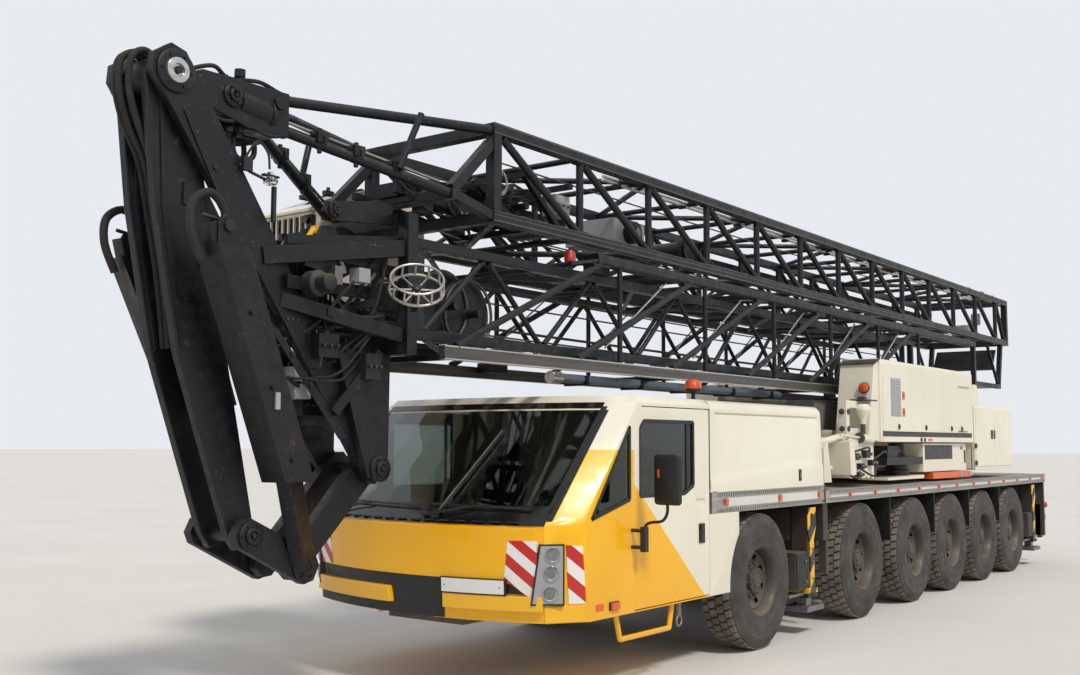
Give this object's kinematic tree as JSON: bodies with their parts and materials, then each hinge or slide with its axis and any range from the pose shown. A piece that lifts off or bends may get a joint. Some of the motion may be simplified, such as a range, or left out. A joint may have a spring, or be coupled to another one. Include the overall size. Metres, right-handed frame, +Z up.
{
  "type": "folding mobile tower crane on a six-axle carrier",
  "caption": "Mobile tower crane folded for the road: lattice mast and jib lie over a wheeled carrier with a front cab, outriggers, a slewing platform and a side-hung operator cabin.",
  "frame": {"origin": "on the ground, under the middle of the whole length and width", "axes": "+X forward out of the cab, +Y to the left side of the vehicle, +Z up"},
  "size_m": [18.3418, 3.96, 4.78],
  "materials": {
    "chassis_black": "satin",
    "deck_grey": "worn matte",
    "aluminium_rail": "brushed",
    "cab_yellow": "gloss",
    "cream_white": "gloss",
    "tinted_glass": "polished",
    "cab_trim_dark": "matte",
    "mirror_black": "satin",
    "axle_black": "matte",
    "tyre_black": "dusty matte",
    "outrigger_black": "satin",
    "mast_black": "satin, worn",
    "cylinder_grey": "satin",
    "bright_steel": "polished",
    "ballast_grey": "painted matte",
    "engine_grey": "matte"
  },
  "bodies": {
    "carrier": {"chassis_frame": "chassis_black", "carrier_deck": "deck_grey", "side_rails": "aluminium_rail", "axle_beams": "axle_black", "tow_couplings": "chassis_black", "cab_shell": "cab_yellow", "cab_windows": "tinted_glass", "cab_interior": "cab_trim_dark", "mirrors_and_beacon": "mirror_black", "engine_cover": "cream_white", "engine_block": "engine_grey"},
    "door_left": {"door_left": "cream_white", "door_glass_left": "tinted_glass"},
    "door_right": {"door_right": "cream_white", "door_glass_right": "tinted_glass"},
    "platform": {"slewing_platform": "cream_white", "platform_cabinets": "cream_white", "ballast_slabs": "ballast_grey"},
    "cylinder_barrels": {"raising_cylinder_barrels": "cylinder_grey"},
    "cylinder_rods": {"raising_cylinder_rods": "bright_steel"},
    "outer_mast": {"mast_outer": "mast_black"},
    "inner_mast": {"mast_inner": "mast_black", "mast_head": "mast_black"},
    "jib": {"jib_root_section": "mast_black"},
    "outer_jib": {"jib_outer_section": "mast_black"},
    "upper_strut": {"back_strut_upper": "mast_black"},
    "lower_strut": {"back_strut_lower": "mast_black"},
    "operator_cabin": {"operator_cabin": "cream_white", "operator_cabin_windows": "tinted_glass"},
    "operator_cabin_door": {"operator_cabin_door": "cream_white"},
    "wheel_1_left": {"wheel_1_left": "tyre_black"},
    "knuckle_1_left": {"knuckle_1_left": "axle_black"},
    "wheel_1_right": {"wheel_1_right": "tyre_black"},
    "knuckle_1_right": {"knuckle_1_right": "axle_black"},
    "wheel_2_left": {"wheel_2_left": "tyre_black"},
    "knuckle_2_left": {"knuckle_2_left": "axle_black"},
    "wheel_2_right": {"wheel_2_right": "tyre_black"},
    "knuckle_2_right": {"knuckle_2_right": "axle_black"},
    "wheel_3_left": {"wheel_3_left": "tyre_black"},
    "knuckle_3_left": {"knuckle_3_left": "axle_black"},
    "wheel_3_right": {"wheel_3_right": "tyre_black"},
    "knuckle_3_right": {"knuckle_3_right": "axle_black"},
    "wheel_4_left": {"wheel_4_left": "tyre_black"},
    "wheel_4_right": {"wheel_4_right": "tyre_black"},
    "wheel_5_left": {"wheel_5_left": "tyre_black"},
    "knuckle_5_left": {"knuckle_5_left": "axle_black"},
    "wheel_5_right": {"wheel_5_right": "tyre_black"},
    "knuckle_5_right": {"knuckle_5_right": "axle_black"},
    "wheel_6_left": {"wheel_6_left": "tyre_black"},
    "knuckle_6_left": {"knuckle_6_left": "axle_black"},
    "wheel_6_right": {"wheel_6_right": "tyre_black"},
    "knuckle_6_right": {"knuckle_6_right": "axle_black"},
    "outrigger_beam_front_left": {"outrigger_beam_front_left": "outrigger_black"},
    "outrigger_jack_front_left": {"outrigger_jack_front_left": "outrigger_black"},
    "outrigger_beam_front_right": {"outrigger_beam_front_right": "outrigger_black"},
    "outrigger_jack_front_right": {"outrigger_jack_front_right": "outrigger_black"},
    "outrigger_beam_rear_left": {"outrigger_beam_rear_left": "outrigger_black"},
    "outrigger_jack_rear_left": {"outrigger_jack_rear_left": "outrigger_black"},
    "outrigger_beam_rear_right": {"outrigger_beam_rear_right": "outrigger_black"},
    "outrigger_jack_rear_right": {"outrigger_jack_rear_right": "outrigger_black"}
  },
  "joints": [
    {"name": "steer_1_left", "type": "hinge", "parent": "carrier", "child": "knuckle_1_left", "pos_m": [2.7275, 1.04, 0.685], "axis": [0, 0, 1], "range_deg": [-35, 35]},
    {"name": "spin_1_left", "type": "hinge", "parent": "knuckle_1_left", "child": "wheel_1_left", "pos_m": [2.7275, 1.289, 0.685], "axis": [0, 1, 0], "continuous": true},
    {"name": "steer_1_right", "type": "hinge", "parent": "carrier", "child": "knuckle_1_right", "pos_m": [2.7275, -1.04, 0.685], "axis": [0, 0, 1], "range_deg": [-35.2, 35.2]},
    {"name": "spin_1_right", "type": "hinge", "parent": "knuckle_1_right", "child": "wheel_1_right", "pos_m": [2.7275, -1.289, 0.685], "axis": [0, 1, 0], "continuous": true},
    {"name": "steer_2_left", "type": "hinge", "parent": "carrier", "child": "knuckle_2_left", "pos_m": [0.0275, 1.04, 0.685], "axis": [0, 0, 1], "range_deg": [-26.1, 26.1]},
    {"name": "spin_2_left", "type": "hinge", "parent": "knuckle_2_left", "child": "wheel_2_left", "pos_m": [0.0275, 1.289, 0.685], "axis": [0, 1, 0], "continuous": true},
    {"name": "steer_2_right", "type": "hinge", "parent": "carrier", "child": "knuckle_2_right", "pos_m": [0.0275, -1.04, 0.685], "axis": [0, 0, 1], "range_deg": [-26.1, 26.1]},
    {"name": "spin_2_right", "type": "hinge", "parent": "knuckle_2_right", "child": "wheel_2_right", "pos_m": [0.0275, -1.289, 0.685], "axis": [0, 1, 0], "continuous": true},
    {"name": "steer_3_left", "type": "hinge", "parent": "carrier", "child": "knuckle_3_left", "pos_m": [-1.7925, 1.04, 0.685], "axis": [0, 0, 1], "range_deg": [-16.3, 16.3]},
    {"name": "spin_3_left", "type": "hinge", "parent": "knuckle_3_left", "child": "wheel_3_left", "pos_m": [-1.7925, 1.289, 0.685], "axis": [0, 1, 0], "continuous": true},
    {"name": "steer_3_right", "type": "hinge", "parent": "carrier", "child": "knuckle_3_right", "pos_m": [-1.7925, -1.04, 0.685], "axis": [0, 0, 1], "range_deg": [-16.3, 16.3]},
    {"name": "spin_3_right", "type": "hinge", "parent": "knuckle_3_right", "child": "wheel_3_right", "pos_m": [-1.7925, -1.289, 0.685], "axis": [0, 1, 0], "continuous": true},
    {"name": "spin_4_left", "type": "hinge", "parent": "carrier", "child": "wheel_4_left", "pos_m": [-3.3425, 1.289, 0.685], "axis": [0, 1, 0], "continuous": true},
    {"name": "spin_4_right", "type": "hinge", "parent": "carrier", "child": "wheel_4_right", "pos_m": [-3.3425, -1.289, 0.685], "axis": [0, 1, 0], "continuous": true},
    {"name": "steer_5_left", "type": "hinge", "parent": "carrier", "child": "knuckle_5_left", "pos_m": [-4.8925, 1.04, 0.685], "axis": [0, 0, 1], "range_deg": [-14.6, 14.6]},
    {"name": "spin_5_left", "type": "hinge", "parent": "knuckle_5_left", "child": "wheel_5_left", "pos_m": [-4.8925, 1.289, 0.685], "axis": [0, 1, 0], "continuous": true},
    {"name": "steer_5_right", "type": "hinge", "parent": "carrier", "child": "knuckle_5_right", "pos_m": [-4.8925, -1.04, 0.685], "axis": [0, 0, 1], "range_deg": [-14.6, 14.6]},
    {"name": "spin_5_right", "type": "hinge", "parent": "knuckle_5_right", "child": "wheel_5_right", "pos_m": [-4.8925, -1.289, 0.685], "axis": [0, 1, 0], "continuous": true},
    {"name": "steer_6_left", "type": "hinge", "parent": "carrier", "child": "knuckle_6_left", "pos_m": [-6.4425, 1.04, 0.685], "axis": [0, 0, 1], "range_deg": [-20, 20]},
    {"name": "spin_6_left", "type": "hinge", "parent": "knuckle_6_left", "child": "wheel_6_left", "pos_m": [-6.4425, 1.289, 0.685], "axis": [0, 1, 0], "continuous": true},
    {"name": "steer_6_right", "type": "hinge", "parent": "carrier", "child": "knuckle_6_right", "pos_m": [-6.4425, -1.04, 0.685], "axis": [0, 0, 1], "range_deg": [-20.2, 20.2]},
    {"name": "spin_6_right", "type": "hinge", "parent": "knuckle_6_right", "child": "wheel_6_right", "pos_m": [-6.4425, -1.289, 0.685], "axis": [0, 1, 0], "continuous": true},
    {"name": "door_left_hinge", "type": "hinge", "parent": "carrier", "child": "door_left", "pos_m": [5.1775, 1.5, 1.5], "axis": [0, 0, -1], "range_deg": [0, 75]},
    {"name": "door_right_hinge", "type": "hinge", "parent": "carrier", "child": "door_right", "pos_m": [5.1775, -1.5, 1.5], "axis": [0, 0, 1], "range_deg": [0, 75]},
    {"name": "outrigger_beam_front_left_slide", "type": "slide", "parent": "carrier", "child": "outrigger_beam_front_left", "axis": [0, 1, 0], "range_m": [0, 2.1]},
    {"name": "outrigger_jack_front_left_slide", "type": "slide", "parent": "outrigger_beam_front_left", "child": "outrigger_jack_front_left", "axis": [0, 0, -1], "range_m": [0, 0.55]},
    {"name": "outrigger_beam_front_right_slide", "type": "slide", "parent": "carrier", "child": "outrigger_beam_front_right", "axis": [0, -1, 0], "range_m": [0, 2.1]},
    {"name": "outrigger_jack_front_right_slide", "type": "slide", "parent": "outrigger_beam_front_right", "child": "outrigger_jack_front_right", "axis": [0, 0, -1], "range_m": [0, 0.55]},
    {"name": "outrigger_beam_rear_left_slide", "type": "slide", "parent": "carrier", "child": "outrigger_beam_rear_left", "axis": [0, 1, 0], "range_m": [0, 2.1]},
    {"name": "outrigger_jack_rear_left_slide", "type": "slide", "parent": "outrigger_beam_rear_left", "child": "outrigger_jack_rear_left", "axis": [0, 0, -1], "range_m": [0, 0.55]},
    {"name": "outrigger_beam_rear_right_slide", "type": "slide", "parent": "carrier", "child": "outrigger_beam_rear_right", "axis": [0, -1, 0], "range_m": [0, 2.1]},
    {"name": "outrigger_jack_rear_right_slide", "type": "slide", "parent": "outrigger_beam_rear_right", "child": "outrigger_jack_rear_right", "axis": [0, 0, -1], "range_m": [0, 0.55]},
    {"name": "slew", "type": "hinge", "parent": "carrier", "child": "platform", "pos_m": [-3.2225, 0, 1.69], "axis": [0, 0, 1], "continuous": true},
    {"name": "mast_raise", "type": "hinge", "parent": "platform", "child": "outer_mast", "pos_m": [-6.5725, 0, 2.95], "axis": [0, -1, 0], "range_deg": [0, 88]},
    {"name": "cylinder_tilt", "type": "hinge", "parent": "platform", "child": "cylinder_barrels", "pos_m": [-2.4725, 0, 2.3], "axis": [0, 1, 0], "range_deg": [0, 18.5]},
    {"name": "cylinder_stroke", "type": "slide", "parent": "cylinder_barrels", "child": "cylinder_rods", "axis": [-0.9827, 0, 0.1852], "range_m": [0, 1.804]},
    {"name": "mast_telescope", "type": "slide", "parent": "outer_mast", "child": "inner_mast", "axis": [1, 0, 0], "range_m": [0, 7.5]},
    {"name": "cabin_level", "type": "hinge", "parent": "inner_mast", "child": "operator_cabin", "pos_m": [5.9875, -0.84, 3.78], "axis": [0, -1, 0], "range_deg": [-88.5, 0.5]},
    {"name": "operator_door_hinge", "type": "hinge", "parent": "operator_cabin", "child": "operator_cabin_door", "pos_m": [6.1875, -1.66, 3.7], "axis": [0, 0, 1], "range_deg": [0, 80]},
    {"name": "jib_unfold", "type": "hinge", "parent": "inner_mast", "child": "jib", "pos_m": [8.9975, 0, 4.58], "axis": [0, 1, 0], "range_deg": [0, 90.2]},
    {"name": "jib_swing", "type": "hinge", "parent": "jib", "child": "outer_jib", "pos_m": [-9.1225, -0.825, 4.325], "axis": [0, 0, -1], "range_deg": [0, 180]},
    {"name": "upper_strut_swing", "type": "hinge", "parent": "inner_mast", "child": "upper_strut", "pos_m": [8.9975, 0, 4.58], "axis": [0, -1, 0], "range_deg": [0, 60]},
    {"name": "lower_strut_swing", "type": "hinge", "parent": "upper_strut", "child": "lower_strut", "pos_m": [8.2775, 0, 1.42], "axis": [0, 1, 0], "range_deg": [0, 75]}
  ],
  "couplings": [
    {"joint": "steer_1_right", "follows": "steer_1_left", "ratio": 1},
    {"joint": "steer_2_left", "follows": "steer_1_left", "ratio": 0.74},
    {"joint": "steer_2_right", "follows": "steer_1_left", "ratio": 0.74},
    {"joint": "steer_3_left", "follows": "steer_1_left", "ratio": 0.46},
    {"joint": "steer_3_right", "follows": "steer_1_left", "ratio": 0.46},
    {"joint": "steer_5_left", "follows": "steer_6_left", "ratio": 0.72},
    {"joint": "steer_5_right", "follows": "steer_6_left", "ratio": 0.72},
    {"joint": "steer_6_right", "follows": "steer_6_left", "ratio": 1},
    {"joint": "cylinder_tilt", "follows": "mast_raise", "ratio": 0.20679},
    {"joint": "cylinder_stroke", "follows": "mast_raise", "m_per_rad": 1.1679},
    {"joint": "cabin_level", "follows": "mast_raise", "ratio": -1},
    {"joint": "jib_unfold", "follows": "mast_raise", "ratio": 1.0227}
  ]
}
